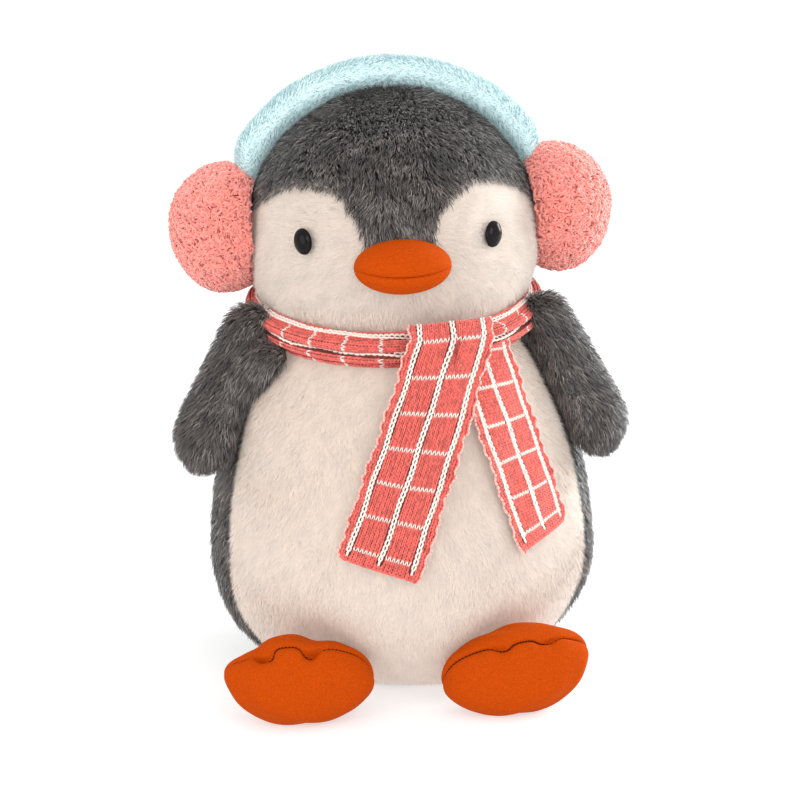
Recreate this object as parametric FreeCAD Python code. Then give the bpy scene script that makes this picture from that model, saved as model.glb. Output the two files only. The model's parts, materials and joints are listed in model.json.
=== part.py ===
"""Plush penguin with ear muffs and a knitted scarf, built from its sewn panels and fillings.

Units are millimetres. +Z is up and the toy faces -Y, so its own left is +X.
The origin is the middle of the flat base panel, on the surface that the toy stands on.
"""
import FreeCAD, Part
import math
import os

Vec = FreeCAD.Vector
X_AXIS = Vec(1, 0, 0)
Y_AXIS = Vec(0, 1, 0)
Z_AXIS = Vec(0, 0, 1)
BIG = 400.0                 # half size of a cutting block, larger than the toy

# cloths and gaps
PLUSH = 5.0                 # backing cloth with its pile
FELT = 2.0                  # orange felt of the beak and feet
KNIT = 2.6                  # knitted scarf
FILL_GAP = 0.2              # between a cover and its filling
BODY_GAP = 0.5              # between pieces that move against each other

# torso: a barrel of two tangent arcs turned about Z
BELLY_R = 95.5
BELLY_Z = 62.0
BASE_R = 52.0
BASE_THICK = 3.0
NECK_R = 61.0
NECK_Z = 180.0
BELLY_PANEL_HALF = 68.0     # degrees of white panel each side of the front

# head: a ball with a fuller cheek line that runs down to the neck
HEAD_R = 71.0
HEAD_Z = 218.5
HEAD_NECK_R = 62.0
HEAD_BACK_Y = 4.0           # the face and crown panels end here, under the ear pads
LOBE_X = 45.8               # round white lobes of the face panel
LOBE_Z = 208.0
LOBE_R = 29.5
LOBE_TILT = 13.0            # degrees that the lobes' axis rises towards the front
LOBE_START = 10.0           # the lobes' cylinders start this far behind the middle
PEAK_Z = 222.0              # lower tip of the grey peak between the lobes

# beak and eyes
BEAK_Z = 214.0
BEAK_HALF = Vec(22.3, 17.0, 12.6)
BEAK_SEAM_DROP = 2.5        # the lips meet this far under the beak's middle
EYE_X = 44.5
EYE_Z = 223.5
EYE_HALF = Vec(5.0, 6.3, 3.4)
EYE_LEAN = 14.0             # degrees that the top of each eye leans outwards
EYE_POST_R = 1.8
EYE_POST_LENGTH = 11.0
WASHER_R = 7.0
WASHER_THICK = 1.6
WASHER_GAP = 0.4            # between a washer and the face's cloth

# wings: flattened tapered pads
WING_TOP = Vec(71.0, -26.0, 176.5)
WING_TIP = Vec(94.5, -32.0, 126.0)
WING_TOP_R = 14.0
WING_TIP_R = 17.0
WING_FLAT = 0.68            # thickness over width
WING_FACE = 42.0            # degrees that the flat side turns from the front to the side

# feet: puffed ovals with three toes, standing on edge
FOOT_X = 53.0
FEET_SHIFT = -3.9           # both feet are sewn a little towards the toy's right
FOOT_Y = -90.0
FOOT_Z = 20.2
FOOT_HALF = Vec(35.0, 17.0, 19.8)
TOE_RISE = {1: 8.0, -1: 1.0}    # degrees that each foot's toe edge rises outwards
FOOT_LEAN = 16.0            # degrees that the toe edge leans back to the belly
FOOT_HINGE = Vec(0, -95.0, 14.0)    # the heel rolls about this height and depth
FOOT_FOLD = 35.0            # degrees that a foot folds forwards
FOLD_STEPS = (0.3, 0.65, 1.0)   # shares of the fold at which a foot has to clear the belly
TOE_NOTCH_R = 5.0
TOE_NOTCHES_X = (-8.5, 15.5)    # outwards from the foot's middle
TOE_NOTCH_RISE = 1.0        # the notches' centres lie this far over the rim

# ear muffs
BAND_R = 82.5               # arch radius at the middle of the band
BAND_DROP = 4.5             # the arch's centre under the head's centre
BAND_HALF_THICK = 6.5
BAND_HALF_WIDTH = 11.0
BAND_SPAN = 140.0           # degrees of arch
BAND_Y = 4.0
PAD_X = 82.5
PAD_Z = 224.7
PAD_HALF = Vec(27.0, 32.0, 32.5)
MUFF_TILT = 1.5             # degrees that the set sits askew, higher on the toy's left
HEAD_ROOM_Z = 175.0         # the pads are fitted to the head from here up

# scarf
COLLAR_R = 65.0
COLLAR_Z = 184.5
COLLAR_HALF = Vec(11.0, 8.5, 0)
COLLAR_ROOM_Z = 200.0       # an ear pad meets no collar above this height
COLLAR_TILT = 9.0           # degrees that the collar drops towards the front
TAIL_TOP_R = 76.5           # the tails hang in one curve from the collar to the belly
TAIL_TOP_Z = 182.0
TAIL_LOW_R = 97.0
TAIL_LOW_Z = 62.0
FRONT_TAIL_W = 39.0         # widths as seen from the front
FRONT_TAIL_TOP = Vec(22.0, 0, 182.0)
FRONT_TAIL_LOW = Vec(-17.0, 0, 74.5)
REAR_TAIL_W = 28.0
REAR_TAIL_TOP = Vec(35.0, 0, 171.0)
REAR_TAIL_LOW = Vec(64.0, 0, 80.0)
TAIL_GAP = 1.6              # between the two tails, side by side
REAR_TAIL_UNDER = 3.2       # how far the rear tail lies behind the front one at its top
UNDER_AT_LOW = 1 / 3        # share of that left at the belly


def rotated(shape, origin, axis, degrees):
    """A copy of the shape, turned about a line."""
    copy = shape.copy()
    copy.rotate(origin, axis, degrees)
    return copy


def mirrored(shape):
    """A copy of the shape on the other side of the toy."""
    return shape.mirror(Vec(0, 0, 0), X_AXIS)


def block(x0, x1, y0, y1, z0, z1):
    """A box between two values along each axis."""
    return Part.makeBox(x1 - x0, y1 - y0, z1 - z0, Vec(x0, y0, z0))


def ellipsoid(centre, half):
    """A solid ellipsoid with the half sizes given along X, Y and Z."""
    matrix = FreeCAD.Matrix()
    matrix.scale(half.x, half.y, half.z)
    solid = Part.makeSphere(1.0).transformGeometry(matrix)
    solid.translate(centre)
    return solid


def grown(half, amount):
    return Vec(half.x + amount, half.y + amount, half.z + amount)


class Bulge:
    """An arc that leaves a widest point upright and ends at another radius and height."""

    def __init__(self, wide_r, wide_z, end_r, end_z):
        rise = end_z - wide_z
        self.centre_r = (wide_r**2 - end_r**2 - rise**2) / (2 * (wide_r - end_r))
        self.centre_z = wide_z
        self.radius = wide_r - self.centre_r

    def r_at(self, z, grow):
        radius = self.radius + grow
        return self.centre_r + math.sqrt(radius**2 - (z - self.centre_z) ** 2)

    def edge(self, z0, z1, grow):
        points = []
        for z in (z0, (z0 + z1) / 2, z1):
            points.append(Vec(self.r_at(z, grow), 0, z))
        return Part.Arc(*points).toShape()


TORSO_LOW = Bulge(BELLY_R, BELLY_Z, BASE_R, 0)
TORSO_HIGH = Bulge(BELLY_R, BELLY_Z, NECK_R, NECK_Z)
HEAD_LOW = Bulge(HEAD_R, HEAD_Z, HEAD_NECK_R, NECK_Z)


def closed_profile(edges):
    """A face between the Z axis and a chain of edges that runs upwards."""
    first = edges[0].valueAt(edges[0].FirstParameter)
    last = edges[-1].valueAt(edges[-1].LastParameter)
    chain = []
    if first.x > 1e-6:
        chain.append(Part.makeLine(Vec(0, 0, first.z), first))
    chain.extend(edges)
    if last.x > 1e-6:
        chain.append(Part.makeLine(last, Vec(0, 0, last.z)))
    chain.append(Part.makeLine(Vec(0, 0, last.z), Vec(0, 0, first.z)))
    return Part.Face(Part.Wire(chain))


def torso_profile(grow, z0, z1):
    low = TORSO_LOW.edge(z0, BELLY_Z, grow)
    high = TORSO_HIGH.edge(BELLY_Z, z1, grow)
    return closed_profile([low, high])


def head_profile(grow, z0):
    radius = HEAD_R + grow
    low = HEAD_LOW.edge(z0, HEAD_Z, grow)
    quarter = radius * math.sin(math.radians(45))
    middle = Vec(quarter, 0, HEAD_Z + quarter)
    ball = Part.Arc(Vec(radius, 0, HEAD_Z), middle, Vec(0, 0, HEAD_Z + radius)).toShape()
    return closed_profile([low, ball])


def turned(face, start=0.0, sweep=360.0):
    """The face turned about Z, from a start angle measured from +X."""
    return rotated(face, Vec(0, 0, 0), Z_AXIS, start).revolve(Vec(0, 0, 0), Z_AXIS, sweep)


def torso(grow, z0=0.0, z1=NECK_Z - BODY_GAP / 2):
    return turned(torso_profile(grow, z0, z1))


def head(grow, z0=NECK_Z + BODY_GAP / 2):
    return turned(head_profile(grow, z0))


def head_point(x, z):
    """The point of the head's front at a width and height, and its outward direction."""
    y = -math.sqrt(HEAD_R**2 - x**2 - (z - HEAD_Z) ** 2)
    point = Vec(x, y, z)
    return point, (point - Vec(0, 0, HEAD_Z)).normalize()


def torso_parts():
    """The white belly, two grey backs, the base and the filling."""
    base_r = TORSO_LOW.r_at(BASE_THICK, -PLUSH)
    base_section = closed_profile([Part.makeLine(Vec(base_r, 0, 0), Vec(base_r, 0, BASE_THICK))])
    shell = torso_profile(0, 0, NECK_Z - BODY_GAP / 2)
    shell = shell.cut(torso_profile(-PLUSH, BASE_THICK, NECK_Z)).cut(base_section)
    side = 180.0 - BELLY_PANEL_HALF
    front = -90.0
    return {
        "belly_panel": turned(shell, front - BELLY_PANEL_HALF, 2 * BELLY_PANEL_HALF),
        "back_panel_left": turned(shell, front + BELLY_PANEL_HALF, side),
        "back_panel_right": turned(shell, front + 180.0, side),
        "base_panel": turned(base_section),
        "body_stuffing": torso(-PLUSH - FILL_GAP, BASE_THICK + FILL_GAP),
    }


def face_region():
    """The block of space that holds the white face: two lobes and everything below the peak."""
    region = block(-BIG, BIG, -BIG, HEAD_BACK_Y, 0, PEAK_Z)
    rise = math.radians(LOBE_TILT)
    forward = Vec(0, -math.cos(rise), math.sin(rise))
    for side in (-1, 1):
        start = Vec(side * LOBE_X, 0, LOBE_Z) - forward * LOBE_START
        region = region.fuse(Part.makeCylinder(LOBE_R, BIG, start, forward))
    return region


def eye_frame(side):
    """Placement of an eye: local Z is the outward direction and local Y the eye's long way."""
    point, outward = head_point(side * EYE_X, EYE_Z)
    across = Z_AXIS.cross(outward).normalize()
    up = outward.cross(across)
    turn = FreeCAD.Rotation(across, up, outward, "ZXY")
    lean = FreeCAD.Rotation(Z_AXIS, -side * EYE_LEAN)
    return FreeCAD.Placement(point, turn.multiply(lean))


def eye(side):
    """A domed safety eye with its shank."""
    dome = ellipsoid(Vec(0, 0, 0), EYE_HALF)
    dome = dome.common(block(-BIG, BIG, -BIG, BIG, 0, BIG))
    post = Part.makeCylinder(EYE_POST_R, EYE_POST_LENGTH, Vec(0, 0, -EYE_POST_LENGTH))
    solid = dome.fuse(post).removeSplitter()
    solid.Placement = eye_frame(side)
    return solid


def eye_seat(side):
    """The shallow flat and the hole in the face that an eye sits in."""
    flat = ellipsoid(Vec(0, 0, 0), EYE_HALF)
    hole = Part.makeCylinder(EYE_POST_R, EYE_POST_LENGTH, Vec(0, 0, -EYE_POST_LENGTH))
    flat = flat.common(block(-BIG, BIG, -BIG, BIG, 0, BIG))
    solid = flat.fuse(hole)
    solid.Placement = eye_frame(side)
    return solid


def eye_washer(side):
    """The lock washer pressed on the shank, just inside the face."""
    low = -PLUSH - WASHER_GAP - WASHER_THICK
    ring = Part.makeCylinder(WASHER_R, WASHER_THICK, Vec(0, 0, low))
    ring = ring.cut(Part.makeCylinder(EYE_POST_R, EYE_POST_LENGTH, Vec(0, 0, -EYE_POST_LENGTH)))
    ring.Placement = eye_frame(side)
    return ring


def eye_pocket(side):
    """The space in the filling for a washer and the end of the shank."""
    pocket = Part.makeCylinder(WASHER_R + FILL_GAP, EYE_POST_LENGTH + FILL_GAP)
    pocket.translate(Vec(0, 0, -EYE_POST_LENGTH - FILL_GAP))
    pocket.Placement = eye_frame(side).multiply(pocket.Placement)
    return pocket


def head_parts():
    """The face, crown and back panels, the filling, the eyes and their washers."""
    shell = head(0).cut(head(-PLUSH, NECK_Z))
    front = shell.common(block(-BIG, BIG, -BIG, HEAD_BACK_Y, 0, BIG))
    region = face_region()
    face = front.common(region)
    back = shell.common(block(-BIG, BIG, HEAD_BACK_Y, BIG, 0, BIG))
    filling = head(-PLUSH - FILL_GAP)
    parts = {}
    for side, name in ((1, "left"), (-1, "right")):
        face = face.cut(eye_seat(side))
        filling = filling.cut(eye_pocket(side))
        parts["eye_" + name] = eye(side)
        parts["eye_washer_" + name] = eye_washer(side)
        half = block(min(0, side * BIG), max(0, side * BIG), -BIG, BIG, 0, BIG)
        parts["head_back_panel_" + name] = back.common(half)
    parts["face_panel"] = face
    parts["crown_panel"] = front.cut(region)
    parts["head_stuffing"] = filling
    return parts


def beak_parts():
    """Two felt lips and their filling, sewn on the front of the face."""
    centre = Vec(0, head_point(0, BEAK_Z)[0].y, BEAK_Z)
    outer = ellipsoid(centre, BEAK_HALF).cut(head(0))
    inner = ellipsoid(centre, grown(BEAK_HALF, -FELT)).cut(head(FILL_GAP))
    filling = ellipsoid(centre, grown(BEAK_HALF, -FELT - FILL_GAP)).cut(head(FILL_GAP))
    skin = outer.cut(inner)
    seam_z = BEAK_Z - BEAK_SEAM_DROP
    return {
        "beak_upper": skin.common(block(-BIG, BIG, -BIG, 0, seam_z, BIG)),
        "beak_lower": skin.common(block(-BIG, BIG, -BIG, 0, 0, seam_z)),
        "beak_stuffing": filling,
    }


def wing_solid(grow):
    """A tapered pad from shoulder to tip, flattened across its thickness."""
    top_r = WING_TOP_R + grow
    tip_r = WING_TIP_R + grow
    span = (WING_TIP - WING_TOP).Length
    slope = math.asin((WING_TIP_R - WING_TOP_R) / span)
    top_touch = Vec(top_r * math.cos(slope), 0, top_r * math.sin(slope))
    tip_touch = Vec(tip_r * math.cos(slope), 0, tip_r * math.sin(slope) - span)
    half = math.radians(45) - slope / 2
    tip_mid = Vec(tip_r * math.cos(half), 0, -span - tip_r * math.sin(half))
    half = math.radians(45) + slope / 2
    top_mid = Vec(top_r * math.cos(half), 0, top_r * math.sin(half))
    edges = [
        Part.Arc(Vec(0, 0, -span - tip_r), tip_mid, tip_touch).toShape(),
        Part.makeLine(tip_touch, top_touch),
        Part.Arc(top_touch, top_mid, Vec(0, 0, top_r)).toShape(),
    ]
    pad = closed_profile(edges).revolve(Vec(0, 0, 0), Z_AXIS, 360)
    matrix = FreeCAD.Matrix()
    matrix.scale(1.0, WING_FLAT, 1.0)
    return pad.transformGeometry(matrix)


def wing_placement():
    """Local -Z runs from shoulder to tip and local -Y is the flat outer side."""
    down = (WING_TIP - WING_TOP).normalize()
    facing = math.radians(WING_FACE)
    outward = Vec(math.sin(facing), -math.cos(facing), 0)
    up = down * -1
    across = up.cross(outward).normalize()
    rotation = FreeCAD.Rotation(across, outward * -1, up, "ZXY")
    return FreeCAD.Placement(WING_TOP, rotation)


def wing_parts(side, name):
    """Outer and inner cloth of one wing and its filling, clear of the torso and the collar."""
    place = wing_placement()
    room = torso(BODY_GAP).fuse(head(BODY_GAP)).fuse(collar_tube(BODY_GAP))
    outer = wing_solid(0)
    inner = wing_solid(-PLUSH)
    filling = wing_solid(-PLUSH - FILL_GAP)
    outside = block(-BIG, BIG, -BIG, 0, -BIG, BIG)
    inside = block(-BIG, BIG, 0, BIG, -BIG, BIG)
    skin = outer.cut(inner)
    pieces = {
        "wing_outer_": skin.common(outside),
        "wing_inner_": skin.common(inside),
        "wing_stuffing_": filling,
    }
    parts = {}
    for stem, solid in pieces.items():
        solid.Placement = place.multiply(solid.Placement)
        solid = solid.cut(room)
        parts[stem + name] = solid if side > 0 else mirrored(solid)
    return parts


def foot_solid(grow):
    """A puffed oval on edge with two notches that part its three toes."""
    pad = ellipsoid(Vec(0, 0, 0), grown(FOOT_HALF, grow))
    for x in TOE_NOTCHES_X:
        rim_z = FOOT_HALF.z * math.sqrt(1 - (x / FOOT_HALF.x) ** 2)
        start = Vec(x, -BIG / 2, rim_z + TOE_NOTCH_RISE)
        pad = pad.cut(Part.makeCylinder(TOE_NOTCH_R - grow, BIG, start, Y_AXIS))
    return pad


def placed(solid, place):
    """A solid moved from its own frame to a place on the toy."""
    solid.Placement = place.multiply(solid.Placement)
    return solid


def foot_placement(side):
    """The left foot's place, or the right foot's before it is mirrored."""
    lean = FreeCAD.Rotation(X_AXIS, -FOOT_LEAN)
    rise = FreeCAD.Rotation(Y_AXIS, -TOE_RISE[side])
    x = FOOT_X + side * FEET_SHIFT
    return FreeCAD.Placement(Vec(x, FOOT_Y, FOOT_Z), lean.multiply(rise))


def foot_parts(side, name):
    """Sole and top felt of one foot and its filling, clear of the belly."""
    place = foot_placement(side)
    belly = torso(BODY_GAP)
    room = belly
    for share in FOLD_STEPS:
        room = room.fuse(rotated(belly, FOOT_HINGE, X_AXIS, -share * FOOT_FOLD))
    cover = placed(foot_solid(0), place).cut(room)
    skin = cover.cut(placed(foot_solid(-FELT), place))
    round_filling = cover.cut(placed(foot_solid(-FELT - FILL_GAP), place))
    pieces = {
        "foot_sole_": skin.common(placed(block(-BIG, BIG, -BIG, 0, -BIG, BIG), place)),
        "foot_top_": skin.common(placed(block(-BIG, BIG, 0, BIG, -BIG, BIG), place)),
        "foot_stuffing_": cover.cut(round_filling),
    }
    parts = {}
    for stem, solid in pieces.items():
        parts[stem + name] = solid if side > 0 else mirrored(solid)
    return parts


def band_tube(grow):
    """The arch of the head band, an oval section swept over the crown."""
    oval = Part.Ellipse(Vec(0, 0, 0), BAND_HALF_WIDTH + grow, BAND_HALF_THICK + grow)
    face = Part.Face(Part.Wire(oval.toShape()))
    face.rotate(Vec(0, 0, 0), Z_AXIS, 90)
    face.translate(Vec(BAND_R, 0, 0))
    start = (180.0 - BAND_SPAN) / 2
    face.rotate(Vec(0, 0, 0), Y_AXIS, -start)
    arch = face.revolve(Vec(0, 0, 0), Y_AXIS * -1, BAND_SPAN)
    arch.translate(Vec(0, BAND_Y, HEAD_Z - BAND_DROP))
    return arch


def muff_room(grow):
    """Space that the head and the collar need while the set is worn, turned and lifted off."""
    column = Part.makeCylinder(HEAD_R + grow, HEAD_Z)
    collar_r = COLLAR_R + COLLAR_HALF.x + grow
    collar_column = Part.makeCylinder(collar_r, COLLAR_ROOM_Z + grow)
    return head(grow, HEAD_ROOM_Z).fuse(column).fuse(collar_column)


def askew(solid, side=1):
    """The solid tilted with the set; side -1 is for a solid that is mirrored afterwards."""
    return rotated(solid, Vec(0, 0, HEAD_Z), Y_AXIS, -side * MUFF_TILT)


def pad_solid(side, grow):
    """One ear pad, tilted with the set and then fitted to the head and the collar."""
    pad = askew(ellipsoid(Vec(PAD_X, BAND_Y, PAD_Z), grown(PAD_HALF, grow)), side)
    pad = pad.cut(muff_room(BODY_GAP - grow))
    return pad if side > 0 else mirrored(pad)


def muff_parts():
    """The head band and two ear pads, each a cover over its filling."""
    band = askew(band_tube(0))
    parts = {
        "headband_cover": band.cut(askew(band_tube(-PLUSH))),
        "headband_stuffing": askew(band_tube(-PLUSH - FILL_GAP)),
    }
    for side, name in ((1, "left"), (-1, "right")):
        pad = pad_solid(side, 0)
        for node in ("headband_cover", "headband_stuffing"):
            parts[node] = parts[node].cut(pad)
        parts["earmuff_cover_" + name] = pad.cut(pad_solid(side, -PLUSH))
        parts["earmuff_stuffing_" + name] = pad_solid(side, -PLUSH - FILL_GAP)
    return parts


def collar_tube(grow):
    """The scarf's turn round the neck as a plain oval ring."""
    oval = Part.Ellipse(Vec(0, 0, 0), COLLAR_HALF.x + grow, COLLAR_HALF.y + grow)
    face = Part.Face(Part.Wire(oval.toShape()))
    face.rotate(Vec(0, 0, 0), X_AXIS, 90)
    face.translate(Vec(COLLAR_R, 0, COLLAR_Z))
    ring = face.revolve(Vec(0, 0, 0), Z_AXIS, 360)
    return rotated(ring, Vec(0, 0, COLLAR_Z), X_AXIS, COLLAR_TILT)


def drape(under):
    """A skirt round the whole toy, from the collar to the belly, one cloth thick."""
    low_r = TAIL_LOW_R - under * UNDER_AT_LOW
    profile = Bulge(low_r, TAIL_LOW_Z, TAIL_TOP_R - under, TAIL_TOP_Z)
    inner = profile.edge(TAIL_LOW_Z, TAIL_TOP_Z, 0)
    outer = profile.edge(TAIL_LOW_Z, TAIL_TOP_Z, KNIT)
    return turned(closed_profile([outer])).cut(turned(closed_profile([inner])))


def tail_outline(width, top_end, low_end):
    """A strip as seen from the front, level where it leaves the collar and square at its end."""
    down = (low_end - top_end).normalize()
    across = down.cross(Y_AXIS).normalize() * (width / 2)
    level = X_AXIS * (across.Length / abs(down.z))
    if across.x < 0:
        across = across * -1
    corners = [top_end - level, top_end + level, low_end + across, low_end - across]
    return Part.Face(Part.makePolygon(corners + corners[:1])).extrude(Y_AXIS * -BIG)


def scarf_parts():
    """One knitted strip: its turn round the neck and its two tails."""
    ring = collar_tube(0).cut(torso(BODY_GAP)).cut(head(BODY_GAP))
    front = tail_outline(FRONT_TAIL_W, FRONT_TAIL_TOP, FRONT_TAIL_LOW)
    front_room = tail_outline(FRONT_TAIL_W + 2 * TAIL_GAP, FRONT_TAIL_TOP, FRONT_TAIL_LOW)
    rear = tail_outline(REAR_TAIL_W, REAR_TAIL_TOP, REAR_TAIL_LOW)
    return {
        "scarf_wrap": ring,
        "scarf_front_tail": drape(0).common(front),
        "scarf_rear_tail": drape(REAR_TAIL_UNDER).common(rear).cut(front_room),
    }


def build():
    parts = {}
    parts.update(torso_parts())
    parts.update(head_parts())
    parts.update(beak_parts())
    for side, name in ((1, "left"), (-1, "right")):
        parts.update(wing_parts(side, name))
        parts.update(foot_parts(side, name))
    parts.update(muff_parts())
    parts.update(scarf_parts())
    return parts


os.makedirs("parts", exist_ok=True)
for node, shape in build().items():
    print(f"{node:24s} solids {len(shape.Solids)} volume {shape.Volume:10.0f} valid {shape.isValid()}")
    shape.exportStep(f"parts/{node}.step")
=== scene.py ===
"""The visible plush penguin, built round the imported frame. Metres, +Z up, the toy faces -Y."""
import json
import math

import bpy
import numpy as np
from mathutils import Matrix, Vector


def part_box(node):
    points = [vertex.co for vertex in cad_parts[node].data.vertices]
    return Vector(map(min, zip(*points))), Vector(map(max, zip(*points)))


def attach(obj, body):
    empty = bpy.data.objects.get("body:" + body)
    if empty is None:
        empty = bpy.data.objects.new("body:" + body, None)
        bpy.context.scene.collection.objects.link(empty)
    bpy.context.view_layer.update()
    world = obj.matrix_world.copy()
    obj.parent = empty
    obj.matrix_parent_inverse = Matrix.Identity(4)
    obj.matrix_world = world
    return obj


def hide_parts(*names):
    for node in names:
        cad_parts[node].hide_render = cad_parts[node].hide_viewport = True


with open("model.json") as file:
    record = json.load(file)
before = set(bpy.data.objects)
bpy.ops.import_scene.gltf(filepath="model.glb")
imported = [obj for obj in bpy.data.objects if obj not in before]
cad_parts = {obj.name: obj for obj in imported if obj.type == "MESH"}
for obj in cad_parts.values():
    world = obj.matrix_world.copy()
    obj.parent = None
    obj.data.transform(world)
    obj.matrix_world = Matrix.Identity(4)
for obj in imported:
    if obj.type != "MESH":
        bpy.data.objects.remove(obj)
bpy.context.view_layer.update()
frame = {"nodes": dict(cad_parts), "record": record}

MM = 0.001
FLOOR_GAP = 0.3 * MM        # nothing reaches lower than this
SIDES = ((1, "left"), (-1, "right"))    # the toy's own left is +X


# ---------------- places, from the frame

def low(node):
    return np.array(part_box(node)[0], float)


def high(node):
    return np.array(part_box(node)[1], float)


BELLY_R = high("back_panel_left")[0]
NECK_Z = high("belly_panel")[2]
BELLY_Z = 0.345 * NECK_Z
BASE_R = high("base_panel")[0] + 7.3 * MM
NECK_R = 0.64 * BELLY_R
HEAD_R = high("head_back_panel_left")[0]
HEAD_Z = high("crown_panel")[2] - HEAD_R
HEAD_NECK_R = 0.873 * HEAD_R
HEAD_MIDDLE = np.array([0, 0, HEAD_Z])
BEAK_Z = (low("beak_lower")[2] + high("beak_upper")[2]) / 2
BEAK_W = high("beak_upper")[0]
BEAK_H = (high("beak_upper")[2] - low("beak_lower")[2]) / 2
BEAK_SEAM_Z = low("beak_upper")[2]
JOINTS = frame["record"]["behaviour"]["joints"]
HINGES = {joint["name"]: np.array(joint.get("pos_m", (0, 0, 0)), float) for joint in JOINTS}


# ---------------- small tools

def mm(*values):
    """Millimetres as an array in metres."""
    return np.array(values, float) * MM


def unit(v):
    return v / np.maximum(np.linalg.norm(v, axis=-1, keepdims=True), 1e-12)


def smooth_step(x, start, end):
    t = np.clip((x - start) / (end - start), 0, 1)
    return t * t * (3 - 2 * t)


def ripple(points, wavelength, seed):
    """Smooth noise, about -1 to 1, that changes over the wavelength."""
    draw = np.random.default_rng(seed)
    total = np.zeros(len(points))
    for _ in range(8):
        wave = unit(draw.normal(size=3)) * 2 * math.pi / (wavelength * draw.uniform(0.7, 1.5))
        total += np.sin(points @ wave + draw.uniform(0, 2 * math.pi))
    return total / 2.9


def bulge(z, wide_r, wide_z, end_r, end_z):
    """Radius at a height on the arc that is upright at its widest point and ends at end_r, end_z."""
    rise = end_z - wide_z
    centre = (wide_r**2 - end_r**2 - rise**2) / (2 * (wide_r - end_r))
    return centre + np.sqrt(np.maximum((wide_r - centre) ** 2 - (z - wide_z) ** 2, 0))


def near(points, centre, spread):
    """1 at the centre, fading to 0 over the spread."""
    return np.exp(-(np.linalg.norm(points - np.array(centre), axis=1) / spread) ** 2)


def groove(distance, half_width):
    """1 on a line, fading to 0 over the half width."""
    return np.exp(-(distance / half_width) ** 2)


def around(radius, azimuth, z):
    """Points at an azimuth in radians from the front, positive towards the toy's left."""
    return np.stack([radius * np.sin(azimuth), -radius * np.cos(azimuth), z + 0 * azimuth], -1)


def tangent(directions, normals):
    """The directions laid flat on the surface that has these normals."""
    return unit(directions - normals * (directions * normals).sum(1, keepdims=True))


def new_object(name, mesh, materials):
    for material in materials:
        mesh.materials.append(material)
    obj = bpy.data.objects.new(name, mesh)
    bpy.context.scene.collection.objects.link(obj)
    return obj


def mesh_from(name, verts, faces, slots=None):
    """A smooth mesh from points and equal-sided faces, given as one array or a list of arrays."""
    groups = faces if isinstance(faces, list) else [faces]
    mesh = bpy.data.meshes.new(name)
    mesh.vertices.add(len(verts))
    mesh.vertices.foreach_set("co", np.asarray(verts, np.float32).ravel())
    corners = np.concatenate([g.ravel() for g in groups]).astype(np.int32)
    sizes = np.concatenate([np.full(len(g), g.shape[1]) for g in groups])
    starts = np.concatenate([[0], np.cumsum(sizes)[:-1]]).astype(np.int32)
    mesh.loops.add(len(corners))
    mesh.loops.foreach_set("vertex_index", corners)
    mesh.polygons.add(len(sizes))
    mesh.polygons.foreach_set("loop_start", starts)
    mesh.polygons.foreach_set("use_smooth", np.ones(len(sizes), bool))
    if slots is not None:
        mesh.polygons.foreach_set("material_index", np.asarray(slots, np.int32))
    mesh.update(calc_edges=True)
    return mesh


def grid_faces(rows, columns, wrap=False):
    """Quads over a grid of rows x columns points; wrap joins the last column to the first."""
    i = np.arange(rows - 1)[:, None]
    j = np.arange(columns if wrap else columns - 1)[None, :]
    k = (j + 1) % columns
    quads = [i * columns + j, i * columns + k, (i + 1) * columns + k, (i + 1) * columns + j]
    return np.stack(np.broadcast_arrays(*quads), -1).reshape(-1, 4)


def vertex_normals(verts, quads):
    """Smooth normals of a quad mesh."""
    a, b, c, d = (verts[quads[:, k]] for k in range(4))
    face = np.cross(c - a, d - b)
    normals = np.zeros_like(verts)
    for k in range(4):
        np.add.at(normals, quads[:, k], face)
    return unit(normals)


def dress(node, material):
    """Put a material on a CAD node that stays."""
    for slot in frame["nodes"][node].material_slots:
        slot.material = material


class Surface:
    """Points, quads and outward normals of one closed or open form."""

    def __init__(self, verts, quads, normals=None):
        self.verts = verts
        self.quads = quads
        self.normals = vertex_normals(verts, quads) if normals is None else normals

    def part(self, keep):
        """The same form with only the quads where keep is true."""
        return Surface(self.verts, self.quads[keep], self.normals)

    def middles(self):
        """The middles of the quads."""
        return self.verts[self.quads].mean(axis=1)

    def moved(self, distance):
        """The form with every point moved along its normal."""
        return Surface(self.verts + self.normals * np.asarray(distance).reshape(-1, 1), self.quads)

    def sampled(self, per_mm2, seed):
        """Random points spread evenly over the form, with their normals."""
        draw = np.random.default_rng(seed)
        q = self.quads
        tris = np.concatenate([q[:, [0, 1, 2]], q[:, [0, 2, 3]]])
        a, b, c = (self.verts[tris[:, k]] for k in range(3))
        areas = np.linalg.norm(np.cross(b - a, c - a), axis=1) / 2
        count = int(areas.sum() / MM**2 * per_mm2)
        pick = draw.choice(len(tris), count, p=areas / areas.sum())
        u, v = draw.random((2, count, 1))
        flip = u + v > 1
        u = np.where(flip, 1 - u, u)
        v = np.where(flip, 1 - v, v)
        tri = tris[pick]
        w = 1 - u - v
        points = self.verts[tri[:, 0]] * w + self.verts[tri[:, 1]] * u + self.verts[tri[:, 2]] * v
        normals = self.normals[tri[:, 0]] * w + self.normals[tri[:, 1]] * u + self.normals[tri[:, 2]] * v
        return points, unit(normals)

    def cloth(self, name, body, slot, material, nodes=(), thick=1.2 * MM, fill=None):
        """A closed cloth piece of this form that rides on a body and stands for CAD nodes."""
        used = np.unique(self.quads)
        index = np.full(len(self.verts), -1)
        index[used] = np.arange(len(used))
        obj = new_object(name, mesh_from(name, self.verts[used], index[self.quads]), [material])
        if thick:
            shell = obj.modifiers.new("thickness", "SOLIDIFY")
            shell.thickness = thick
            shell.offset = -1
        place(obj, body, nodes)

    def filling(self, node, body, depth):
        """The polyester filling under this form, which stands for its CAD node."""
        inner = self.moved(-depth)
        inner.cloth(node + "_fibre", body, "polyester_filling", fibre, [node], thick=0, fill=0.8)


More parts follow.
